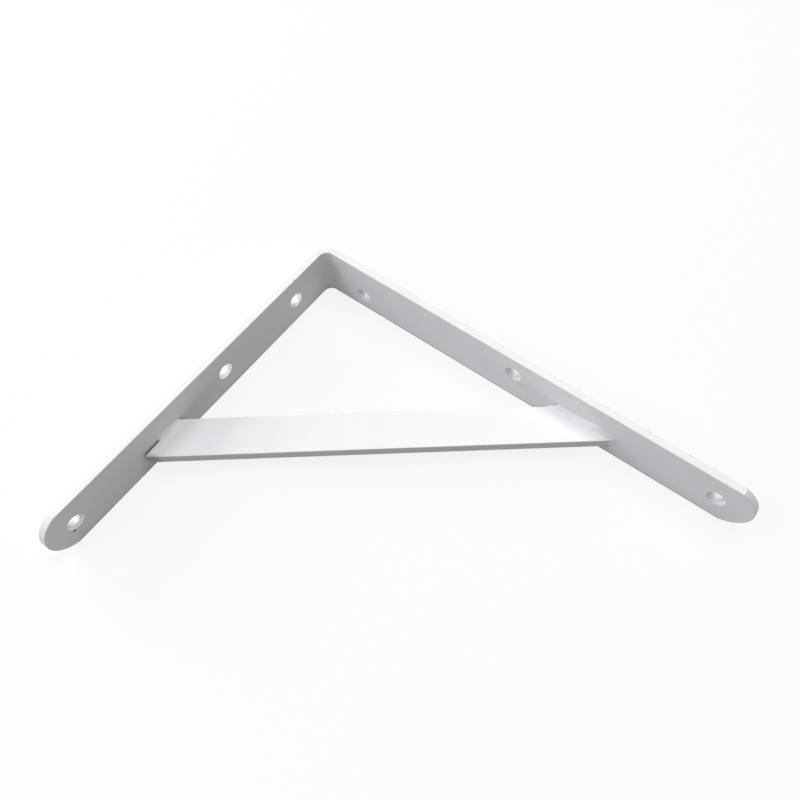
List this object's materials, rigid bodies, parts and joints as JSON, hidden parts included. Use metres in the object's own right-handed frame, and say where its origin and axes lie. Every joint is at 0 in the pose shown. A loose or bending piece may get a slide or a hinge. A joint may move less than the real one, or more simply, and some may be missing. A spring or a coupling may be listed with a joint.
{
  "type": "fixed shelf bracket",
  "caption": "Fixed right-angle shelf bracket: flat steel bar bent to a corner, with countersunk screw holes and a welded diagonal brace.",
  "frame": {"origin": "centre of the footprint of the bracket lying on its side, on the surface it lies on", "axes": "+X along the long leg from the outer corner to its tip, -Y along the short leg from the outer corner to its tip, +Z across the width of the bar"},
  "size_m": [0.25, 0.2, 0.03],
  "materials": {
    "bar_powder_coat": "white powder coat, satin, fine orange peel",
    "brace_powder_coat": "white powder coat, satin, fine orange peel",
    "weld_powder_coat": "white powder coat over a weld bead"
  },
  "bodies": {
    "root": {"bent_bar": "bar_powder_coat", "diagonal_brace": "brace_powder_coat", "long_leg_weld": "weld_powder_coat", "short_leg_upper_weld": "weld_powder_coat", "short_leg_lower_weld": "weld_powder_coat"}
  },
  "joints": []
}
